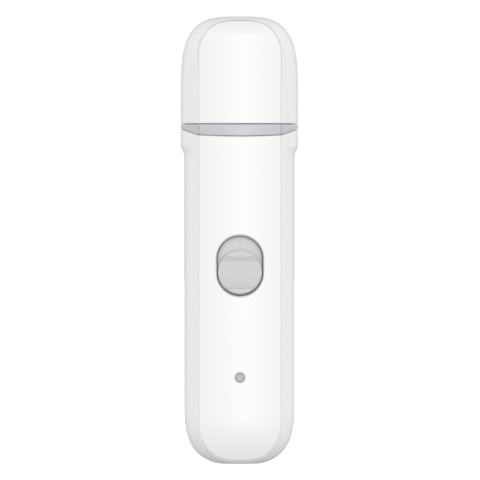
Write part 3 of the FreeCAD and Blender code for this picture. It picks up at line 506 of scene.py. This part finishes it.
def prism(outline, start, end, axis):
    """A closed cutter: a 2-D outline swept along Y (axis 1) or Z (axis 2)."""

    def at(p, height):
        return Vector((p[0], height, p[1])) if axis == 1 else Vector((p[0], p[1], height))

    skin = Skin()
    first = [at(p, start) for p in outline]
    last = [at(p, end) for p in outline]
    skin.closed_strip(first, last)
    skin.add(*first)
    skin.add(*last)
    return skin.build("cutter")


def slot_outline(radius, half_straight, sides=64, sideways=False):
    """Points round a slot; sideways lays its long axis along the first coordinate."""
    points = []
    for step in range(sides):
        turn = 2 * math.pi * (step + 0.5) / sides
        x = radius * math.cos(turn)
        z = radius * math.sin(turn) + math.copysign(half_straight, math.sin(turn))
        points.append((z, x) if sideways else (x, z))
    return points


def collar_levels(inset, steps=12):
    """Lines down the collar's step, on one curve for height and width."""
    drop = COLLAR_TOP - COLLAR_BOTTOM
    heights = (COLLAR_TOP, COLLAR_TOP - drop * COLLAR_UPPER_PULL, COLLAR_BOTTOM + drop * COLLAR_LOWER_PULL,
               COLLAR_BOTTOM)
    levels = []
    for step in range(steps + 1):
        t = step / steps
        weights = ((1 - t) ** 3, 3 * t * (1 - t) ** 2, 3 * t ** 2 * (1 - t), t ** 3)
        height = sum(w * h for w, h in zip(weights, heights))
        levels.append(Level(height, inset, collar=weights[2] + weights[3]))
    return levels


MOUTH_RIM = [(0.0, 0.2), (0.03, 0.1), (0.09, 0.03), (0.2, 0.0), (0.5, 0.0)]


def handle_rows(inset):
    """All lines of the handle from its mouth down to the tip of the bottom end."""
    rows = [Level(MOUTH_LOW - back, inset or sunk, arch=1.0) for back, sunk in MOUTH_RIM]
    rows += [Level(height, inset, arch=arch) for height, arch in ((107.2, 0.8), (106.4, 0.45), (105.7, 0.15))]
    rows += collar_levels(inset)
    heights = list(np.arange(98.5, 82.0, -2.5)) + list(np.arange(81.0, 35.0, -1.0))
    heights += list(np.arange(35.0, BOTTOM_BASE + 0.3, -0.8))
    rows += [Level(float(h), inset, collar=1.0) for h in heights]
    rows.append(Level(BOTTOM_BASE, inset, collar=1.0))
    rows += [Spoke(share, inset, top=False) for share in END_SHARES]
    return rows


SWITCH_LIP = [(0.64, 0.0), (0.58, 0.012), (0.50, 0.08), (0.36, 0.32), (0.20, 0.60), (0.06, 0.85), (0.0, 0.98)]
INDICATOR_LIP = [(0.12, 0.0), (0.07, 0.015), (0.02, 0.06), (0.0, 0.14)]
SCREW_LIP = [(0.22, 0.0), (0.15, 0.02), (0.06, 0.09), (0.0, 0.2)]


def casing_half(name, side):
    """One casing half: skin, wall, mouth rim and parting edge. side is -1 in front, 1 behind."""
    outer = [section(row, seam=1.0) for row in handle_rows(0.0)]
    # A seam of next to no depth gives the wall's lines as many points as the outer ones.
    inner = [section(row, groove=0.0, seam=1e-6) for row in handle_rows(SHELL_WALL)]
    if side < 0:
        features = [((0.0, SWITCH_MIDDLE), SWITCH_HALF_WIDTH, SWITCH_HALF_STRAIGHT, SWITCH_LIP, 3.4),
                    ((0.0, INDICATOR_HEIGHT), INDICATOR_RADIUS, 0.0, INDICATOR_LIP, 1.6)]
    else:
        features = [((SCREW_SPREAD, SCREW_HEIGHT), SCREW_RECESS_RADIUS, 0.0, SCREW_LIP, 0.9)]
    skin = Skin()
    outer_holes, inner_holes = [], []
    for centre, radius, straight, lip, margin in features:
        reach = radius + margin
        for lines, blocks in ((outer, outer_holes), (inner, inner_holes)):
            blocks.append(block_round(lines, centre, reach, reach + straight))
    grid(skin, outer, outer_holes)
    grid(skin, inner, inner_holes)
    skin.strip(outer[0], inner[0])
    skin.strip([line[-1] for line in outer], [line[-1] for line in inner])
    if side < 0:
        skin.mirrored(0)
    split = side > 0
    for feature, outer_hole, inner_hole in zip(features, outer_holes, inner_holes):
        centre, radius, straight, lip, _ = feature
        hole = (centre, radius, straight)
        mouth = patch(skin, block_border(outer, outer_hole), hole, 0.0, lip, split=split)
        wall_radius = radius
        if side > 0:
            mouth = screw_seat(skin, mouth, centre, radius)
            wall_radius = SCREW_BOSS_RADIUS
        wall = patch(skin, block_border(inner, inner_hole), (centre, wall_radius, straight), SHELL_WALL,
                     [(0.0, 0.0)], rings=3, split=split)
        bridge(skin, mouth, wall, centre)
    if side > 0:
        skin.mirrored(0)
        skin.faces = [[(x, -y, z) for x, y, z in reversed(face)] for face in skin.faces]
    return skin.build(name)


def screw_seat(skin, mouth, centre, radius):
    """A casing screw's seat: a cup with a way through it, and the boss round them back to the wall."""
    rays = [Vector((p.x - centre[0], p.z - centre[1])).normalized() for p in mouth]

    def ring(reach, depth=None):
        points = []
        for ray in rays:
            x, z = centre[0] + ray.x * reach, centre[1] + ray.y * reach
            points.append(Vector((x, -(depth or CASING.panel(x, z, SHELL_WALL)), z)))
        return points

    corners = [(radius, SCREW_SEAT), (SCREW_WAY_RADIUS, SCREW_SEAT), (SCREW_WAY_RADIUS, SCREW_BOSS_END),
               (SCREW_BOSS_RADIUS, SCREW_BOSS_END), (SCREW_BOSS_RADIUS, None)]
    loop = mouth
    for reach, depth in corners:
        after = ring(reach, depth)
        skin.closed_strip(loop, after)
        loop = after
    return loop


def bridge(skin, first, second, centre):
    """Triangles between two loops round the same centre whose points don't pair up."""

    def turn(p):
        return math.atan2(p.z - centre[1], p.x - centre[0])

    def ordered(loop):
        """The points by angle, and their angles, closed by the first one a turn later and by infinity."""
        points = sorted(loop, key=turn)
        turns = [turn(p) for p in points]
        return points, turns + [turns[0] + 2 * math.pi, math.inf]

    a, a_turns = ordered(first)
    b, b_turns = ordered(second)
    i = j = 0
    while i < len(a) or j < len(b):
        if a_turns[i + 1] <= b_turns[j + 1]:
            skin.add(a[i % len(a)], a[(i + 1) % len(a)], b[j % len(b)])
            i += 1
        else:
            skin.add(a[i % len(a)], b[(j + 1) % len(b)], b[j % len(b)])
            j += 1


def cap_skin(name):
    """The pull-off cap: inner skin, rounded edge and outer skin."""
    lines = [section(Spoke(share, CAP_WALL), groove=0.0) for share in reversed(END_SHARES)]
    levels = [(h, CAP_WALL) for h in (CASING.top_base, 119.0, 116.5, 114.5, CAP_EDGE + 0.25)]
    levels += [(CAP_EDGE + 0.06, CAP_WALL - 0.08), (CAP_EDGE, CAP_WALL - 0.25)]
    lines += [section(Level(h, inset), groove=0.0) for h, inset in levels]
    edge = [(0.0, 0.16), (0.02, 0.09), (0.07, 0.03), (0.16, 0.0)]
    lines += [section(Level(CAP_EDGE + lift, sunk), groove=1 - sunk / 0.16) for lift, sunk in edge]
    lines += [section(Level(h)) for h in (113.4, 114.8, 116.8, 119.0, CASING.top_base)]
    lines += [section(Spoke(share)) for share in END_SHARES]
    skin = Skin()
    grid(skin, lines)
    skin.mirrored(0)
    skin.mirrored(1)
    return skin.build(name)


def guard_skin(name):
    """The guard: nose inside and out, ledge, grip ring for the cap, flush band and spigot."""
    ledge = CAP_EDGE - SEAM_GAP
    shoulder = ledge - 0.07
    floor = ledge - GUARD_WALL
    spigot = SHELL_WALL + SEAM_GAP
    spigot_inside = spigot + GUARD_WALL
    grip = CAP_WALL + SLIP_GAP
    grip_top = ledge + GRIP_HEIGHT
    low = MOUTH_LOW + SEAM_GAP + 0.12

    def level(height, inset, arch=0.0, form=CASING, groove=0.0):
        return section(Level(height, inset, arch=arch, form=form), groove=groove)

    lines = [section(Spoke(share, GUARD_WALL, NOSE), groove=0.0) for share in reversed(NOSE_SHARES)]
    lines += [level(h, GUARD_WALL, form=NOSE) for h in (NOSE.top_base, 118.0, 113.0, floor)]
    lines += [level(h, spigot_inside) for h in (floor, floor - 0.1, 109.0, SPIGOT_FOOT + 0.1)]
    lines += [level(SPIGOT_FOOT, spigot_inside - 0.1), level(SPIGOT_FOOT, spigot + 0.4)]
    lines += [level(SPIGOT_FOOT + 0.4, spigot), level(108.0, spigot), level(low - 0.02, spigot, 1.0)]
    lines += [level(low, spigot - 0.1, 1.0), level(low, 0.25, 1.0)]
    lines += [level(low + lift, sunk, 1.0, groove=1 - sunk / 0.25) for lift, sunk in
              ((0.03, 0.12), (0.1, 0.03), (0.22, 0.0))]
    top_round = 0.45
    for share in (0.15, 0.4, 0.7, 1.0):
        height = low + 0.22 + (shoulder - top_round - low - 0.22) * share
        lines.append(level(height, 0.0, 1.0 - share, groove=1.0))
    for turn in (22.5, 45.0, 67.5, 90.0):
        angle = math.radians(turn)
        lift, sunk = top_round * math.sin(angle), top_round * (1 - math.cos(angle))
        lines.append(level(shoulder - top_round + lift, sunk, groove=1 - sunk / top_round))
    lines += [level(shoulder, grip - 0.05), level(ledge + 0.05, grip), level(grip_top - 0.35, grip)]
    lines += [level(grip_top - 0.1, grip + 0.08), level(grip_top, grip + 0.35)]
    lines += [level(grip_top, spigot_inside - 0.1), level(grip_top - 0.1, spigot_inside)]
    lines += [level(ledge + 0.05, spigot_inside), level(ledge, spigot_inside + 0.05)]
    lines += [level(h, 0.0, form=NOSE) for h in (ledge, ledge + 0.1, 115.5, 119.0, NOSE.top_base)]
    lines += [section(Spoke(share, 0.0, NOSE), groove=0.0) for share in NOSE_SHARES]
    skin = Skin()
    grid(skin, lines)
    skin.mirrored(0)
    skin.mirrored(1)
    piece = skin.build(name)
    port_middle = (PORT_TOP + PORT_BOTTOM) / 2
    straight = (PORT_TOP - PORT_BOTTOM) / 2 - PORT_HALF_WIDTH
    port = [(x, z + port_middle) for x, z in slot_outline(PORT_HALF_WIDTH, straight)]
    cut_with(piece, prism(port, -20.0, -4.0, 1))
    cut_with(piece, prism(slot_outline(TOP_PORT_RADIUS, 0.0), 130.0, 150.0, 2))
    return piece


def grit_sleeve(name):
    """The abrasive sleeve: a plain bore and a barrel covered in grit."""
    sides = 150
    levels = 96
    relief = 0.13

    def ring(height, radius, rough):
        points = []
        for step in range(sides):
            turn = 2 * math.pi * step / sides
            place = Vector((radius * math.cos(turn), radius * math.sin(turn), height))
            grain = noise.noise(place * 3.1) * 0.5 + noise.noise(place * 7.3) * 0.5
            depth = relief * min(1.0, max(0.0, 0.5 - grain)) if rough else 0.0
            reach = radius - depth
            points.append(Vector((reach * math.cos(turn), reach * math.sin(turn), height)))
        return points

    edge_radius = SLEEVE_RADIUS - SLEEVE_EDGE
    barrel_bottom = SLEEVE_BOTTOM + SLEEVE_EDGE / 2
    barrel = SLEEVE_TOP - SLEEVE_BOTTOM - SLEEVE_EDGE
    rings = [ring(SLEEVE_BOTTOM, SLEEVE_BORE_RADIUS, False), ring(SLEEVE_BOTTOM, edge_radius, False)]
    for number in range(levels + 1):
        rings.append(ring(barrel_bottom + barrel * number / levels, SLEEVE_RADIUS, True))
    rings += [ring(SLEEVE_TOP, edge_radius, False), ring(SLEEVE_TOP, SLEEVE_BORE_RADIUS, False)]
    skin = Skin()
    for first, second in zip(rings, rings[1:] + rings[:1]):
        skin.closed_strip(first, second)
    return skin.build(name, sharp=50.0)


cap = cap_skin("cap_skin")
guard = guard_skin("guard_skin")
front = casing_half("front_skin", -1)
rear = casing_half("rear_skin", 1)
socket_straight = SOCKET_MOUTH_HALF_WIDTH - SOCKET_MOUTH_HALF_DEPTH
socket_mouth = slot_outline(SOCKET_MOUTH_HALF_DEPTH, socket_straight, sideways=True)
for half in (front, rear):
    cut_with(half, prism(socket_mouth, -1.0, SOCKET_MOUTH_LENGTH, 2))
grit = grit_sleeve("grit_skin")
SKINS = ((cap, ["cap_shell"], "cap", "casing_white"),
         (guard, ["guard_collar", "guard_nose"], "guard", "guard_smoke"),
         (front, ["front_shell"], "handle", "casing_white"),
         (rear, ["rear_shell"], "handle", "casing_white"),
         (grit, ["abrasive_sleeve"], "spindle", "diamond_grit"))
for piece, replaced, body, slot_name in SKINS:
    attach(piece, body)
    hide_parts(*replaced)

# ---------------------------------------------------------------- materials


def shade(colour, factor):
    return tuple(min(1.0, c * factor) for c in colour) + (1.0,)


def surface(name, colour, vary, patch_size, rough, rough_vary, grain, bump, stretch=(1, 1, 1), **constants):
    """A procedural finish: soft colour drift, uneven roughness and a fine grain in relief.
    vary is the share that the colour drifts over patch_size, and bump the height of the grain, with sizes in
    millimetres. Constants go straight onto the shader's own sockets."""
    material = bpy.data.materials.new(name)
    material.use_nodes = True
    tree = material.node_tree
    nodes, links = tree.nodes, tree.links
    shader = nodes["Principled BSDF"]
    place = nodes.new("ShaderNodeTexCoord")
    stretched = nodes.new("ShaderNodeMapping")
    stretched.inputs["Scale"].default_value = stretch
    links.new(place.outputs["Object"], stretched.inputs["Vector"])

    drift = nodes.new("ShaderNodeTexNoise")
    drift.inputs["Scale"].default_value = 1 / (patch_size * MM)
    drift.inputs["Detail"].default_value = 4.0
    links.new(stretched.outputs["Vector"], drift.inputs["Vector"])
    tint = nodes.new("ShaderNodeMix")
    tint.data_type = "RGBA"
    tint.inputs[6].default_value = shade(colour, 1 - vary)
    tint.inputs[7].default_value = shade(colour, 1 + vary)
    links.new(drift.outputs["Fac"], tint.inputs["Factor"])
    links.new(tint.outputs[2], shader.inputs["Base Color"])

    fine = nodes.new("ShaderNodeTexNoise")
    fine.inputs["Scale"].default_value = 1 / (grain * MM)
    fine.inputs["Detail"].default_value = 3.0
    links.new(stretched.outputs["Vector"], fine.inputs["Vector"])
    wear = nodes.new("ShaderNodeMapRange")
    wear.inputs["To Min"].default_value = max(0.02, rough - rough_vary)
    wear.inputs["To Max"].default_value = min(1.0, rough + rough_vary)
    links.new(fine.outputs["Fac"], wear.inputs["Value"])
    links.new(wear.outputs["Result"], shader.inputs["Roughness"])
    relief = nodes.new("ShaderNodeBump")
    relief.inputs["Strength"].default_value = 1.0
    relief.inputs["Distance"].default_value = bump * MM
    links.new(fine.outputs["Fac"], relief.inputs["Height"])
    links.new(relief.outputs["Normal"], shader.inputs["Normal"])
    for socket, value in constants.items():
        shader.inputs[socket.replace("_", " ")].default_value = value
    return material


FINISHES = {
    "casing_white": surface("casing_white", (0.82, 0.82, 0.82), 0.012, 30, 0.38, 0.04, 0.35, 0.0012,
                            Coat_Weight=0.35, Coat_Roughness=0.28),
    "switch_grey": surface("switch_grey", (0.565, 0.57, 0.585), 0.02, 12, 0.42, 0.05, 0.25, 0.0015),
    "well_grey": surface("well_grey", (0.62, 0.625, 0.63), 0.02, 12, 0.45, 0.05, 0.25, 0.0015),
    "guard_smoke": surface("guard_smoke", (0.57, 0.57, 0.61), 0.015, 10, 0.3, 0.04, 0.4, 0.0008,
                           Transmission_Weight=0.08, IOR=1.45),
    "deck_plastic": surface("deck_plastic", (0.50, 0.51, 0.53), 0.03, 8, 0.5, 0.06, 0.2, 0.004),
    "black_plastic": surface("black_plastic", (0.025, 0.026, 0.028), 0.15, 6, 0.45, 0.08, 0.2, 0.004),
    "indicator_ring": surface("indicator_ring", (0.33, 0.33, 0.34), 0.04, 3, 0.35, 0.06, 0.2, 0.002),
    "light_guide": surface("light_guide", (0.565, 0.58, 0.585), 0.03, 3, 0.3, 0.05, 0.2, 0.002,
                           Transmission_Weight=0.3),
    "led_body": surface("led_body", (0.75, 0.72, 0.50), 0.05, 1, 0.3, 0.05, 0.2, 0.002),
    "circuit_board": surface("circuit_board", (0.03, 0.16, 0.07), 0.18, 2.5, 0.35, 0.08, 0.3, 0.006),
    "screw_steel": surface("screw_steel", (0.42, 0.42, 0.43), 0.10, 1.5, 0.32, 0.08, 0.12, 0.003,
                           Metallic=1.0),
    "motor_steel": surface("motor_steel", (0.55, 0.55, 0.56), 0.06, 5, 0.28, 0.06, 0.25, 0.003,
                           stretch=(1, 1, 0.15), Metallic=1.0),
    "socket_steel": surface("socket_steel", (0.62, 0.61, 0.60), 0.05, 2, 0.3, 0.06, 0.2, 0.002, Metallic=1.0),
    "bush_bronze": surface("bush_bronze", (0.66, 0.47, 0.26), 0.10, 1.5, 0.42, 0.08, 0.1, 0.004,
                           Metallic=1.0),
    "winding_copper": surface("winding_copper", (0.72, 0.34, 0.18), 0.15, 1, 0.35, 0.08, 0.25, 0.02,
                              stretch=(1, 1, 0.1), Metallic=1.0),
    "ferrite": surface("ferrite", (0.06, 0.06, 0.065), 0.15, 2, 0.6, 0.08, 0.15, 0.006),
    # rubber_black also finishes the seal ring round the switch. That ring is a dark ring set into the gap
    # round the slide, and it paints the shade of that gap.
    "rubber_black": surface("rubber_black", (0.05, 0.05, 0.05), 0.2, 4, 0.75, 0.08, 0.15, 0.005),
    "foam_grey": surface("foam_grey", (0.16, 0.16, 0.17), 0.2, 1.5, 0.95, 0.04, 0.3, 0.08),
    "cell_sleeve": surface("cell_sleeve", (0.10, 0.22, 0.42), 0.05, 15, 0.3, 0.05, 0.5, 0.004),
    "wire_red": surface("wire_red", (0.45, 0.02, 0.02), 0.1, 3, 0.4, 0.06, 0.3, 0.003),
    "wire_black": surface("wire_black", (0.02, 0.02, 0.022), 0.2, 3, 0.4, 0.06, 0.3, 0.003),
    "hub_aluminium": surface("hub_aluminium", (0.66, 0.66, 0.67), 0.05, 3, 0.3, 0.06, 0.15, 0.003,
                             stretch=(1, 1, 4), Metallic=1.0),
    "diamond_grit": surface("diamond_grit", (0.34, 0.34, 0.35), 0.35, 0.25, 0.5, 0.2, 0.16, 0.05,
                            Metallic=0.6),
}

SLOT_OF = {part["node"]: part["material_slot"] for part in frame["record"]["subparts"]}
for name, node in frame["nodes"].items():
    node.data.materials.clear()
    node.data.materials.append(FINISHES[SLOT_OF[name]])
for piece, replaced, body, slot_name in SKINS:
    piece.data.materials.append(FINISHES[slot_name])


# ---------------------------------------------------------------- camera, floor and light

# From here on lengths are metres.
VIEW_WIDTH = 0.15885
CAMERA_DISTANCE = 3.6
CAMERA_TURN = math.radians(-0.8)
CAMERA_ASIDE = 0.00021
CAMERA_HEIGHT = 0.074
SENSOR_WIDTH = 36.0
WORLD_STRENGTH = 1.07
FLOOR_RADIUS = 20.0
FLOOR_DROP = 0.00005

# Brightness of the surroundings from front (-1) to back (1), with a darker zone straight behind, and from
# below (-1) to above (1).
DEPTH_LIGHT = [(-1.0, 0.97), (0.2, 0.98), (0.5, 1.08), (0.82, 1.08), (0.92, 0.42), (1.0, 0.42)]
HEIGHT_LIGHT = [(-1.0, 0.3), (-0.3, 0.75), (0.0, 1.0), (0.4, 1.0), (1.0, 0.6)]


def photo_camera():
    """A long lens almost square to the front panel."""
    data = bpy.data.cameras.new("camera")
    data.sensor_width = SENSOR_WIDTH
    data.lens = SENSOR_WIDTH * CAMERA_DISTANCE / VIEW_WIDTH
    data.clip_start = 0.01
    data.clip_end = 20.0
    camera = bpy.data.objects.new("camera", data)
    across = CAMERA_ASIDE + CAMERA_DISTANCE * math.sin(CAMERA_TURN)
    camera.location = (across, -CAMERA_DISTANCE * math.cos(CAMERA_TURN), CAMERA_HEIGHT)
    camera.rotation_euler = (math.radians(90), 0, CAMERA_TURN)
    bpy.context.scene.collection.objects.link(camera)
    return camera


def sky_ramp(sky, coordinate, stops):
    """Brightness along one axis of the surroundings, from stops of position (-1 to 1) and value."""
    place = sky.nodes.new("ShaderNodeMapRange")
    place.inputs["From Min"].default_value = -1.0
    sky.links.new(coordinate, place.inputs["Value"])
    ramp = sky.nodes.new("ShaderNodeValToRGB")
    sky.links.new(place.outputs["Result"], ramp.inputs["Fac"])
    elements = ramp.color_ramp.elements
    while len(elements) < len(stops):
        elements.new(0.5)
    for element, (position, value) in zip(elements, stops):
        element.position = (position + 1) / 2
        element.color = (value, value, value, 1)
    return ramp.outputs["Color"]


def studio_world():
    """Soft light from all round, graded in depth and height; the camera sees it as plain white."""
    world = bpy.data.worlds.new("studio")
    world.use_nodes = True
    sky = world.node_tree
    direction = sky.nodes.new("ShaderNodeTexCoord")
    parts = sky.nodes.new("ShaderNodeSeparateXYZ")
    sky.links.new(direction.outputs["Generated"], parts.inputs["Vector"])
    blend = sky.nodes.new("ShaderNodeMix")
    blend.data_type = "RGBA"
    blend.blend_type = "MULTIPLY"
    blend.inputs["Factor"].default_value = 1.0
    sky.links.new(sky_ramp(sky, parts.outputs["Y"], DEPTH_LIGHT), blend.inputs[6])
    sky.links.new(sky_ramp(sky, parts.outputs["Z"], HEIGHT_LIGHT), blend.inputs[7])
    graded = sky.nodes["Background"]
    graded.inputs["Strength"].default_value = WORLD_STRENGTH
    sky.links.new(blend.outputs[2], graded.inputs["Color"])
    plain = sky.nodes.new("ShaderNodeBackground")
    plain.inputs["Color"].default_value = (1, 1, 1, 1)
    plain.inputs["Strength"].default_value = WORLD_STRENGTH
    rays = sky.nodes.new("ShaderNodeLightPath")
    choose = sky.nodes.new("ShaderNodeMixShader")
    sky.links.new(rays.outputs["Is Camera Ray"], choose.inputs[0])
    sky.links.new(graded.outputs[0], choose.inputs[1])
    sky.links.new(plain.outputs[0], choose.inputs[2])
    sky.links.new(choose.outputs[0], sky.nodes["World Output"].inputs["Surface"])
    return world


def disc(name, radius, sides=96):
    """A round, level floor."""
    turns = [2 * math.pi * step / sides for step in range(sides)]
    mesh = bpy.data.meshes.new(name)
    mesh.from_pydata([(radius * math.cos(t), radius * math.sin(t), 0.0) for t in turns], [], [range(sides)])
    piece = bpy.data.objects.new(name, mesh)
    bpy.context.scene.collection.objects.link(piece)
    return piece


def backdrop_finish():
    """Matt white with a glow of its own, so that the floor shows no edge against the surroundings."""
    material = bpy.data.materials.new("backdrop")
    material.use_nodes = True
    shader = material.node_tree.nodes["Principled BSDF"]
    shader.inputs["Base Color"].default_value = (0.8, 0.8, 0.8, 1)
    shader.inputs["Roughness"].default_value = 0.9
    shader.inputs["Emission Color"].default_value = (1, 1, 1, 1)
    shader.inputs["Emission Strength"].default_value = 0.9
    return material


def softbox(name, place, aim, width, height, power):
    """A rectangular light, out of the camera's sight."""
    data = bpy.data.lights.new(name, "AREA")
    data.shape = "RECTANGLE"
    data.size = width
    data.size_y = height
    data.energy = power
    lamp = bpy.data.objects.new(name, data)
    lamp.location = place
    lamp.rotation_euler = (Vector(aim) - Vector(place)).to_track_quat("-Z", "Y").to_euler()
    lamp.visible_camera = False
    bpy.context.scene.collection.objects.link(lamp)


bpy.context.scene.camera = photo_camera()
bpy.context.scene.view_settings.view_transform = "Standard"
bpy.context.scene.world = studio_world()

floor = disc("floor", FLOOR_RADIUS)
floor.location.z = -FLOOR_DROP
floor.data.materials.append(backdrop_finish())
floor.visible_diffuse = False
floor.visible_glossy = False
floor.visible_shadow = False

softbox("key", place=(0.1, -1.9, 0.2), aim=(0, 0, 0.08), width=0.44, height=1.4, power=9.4)
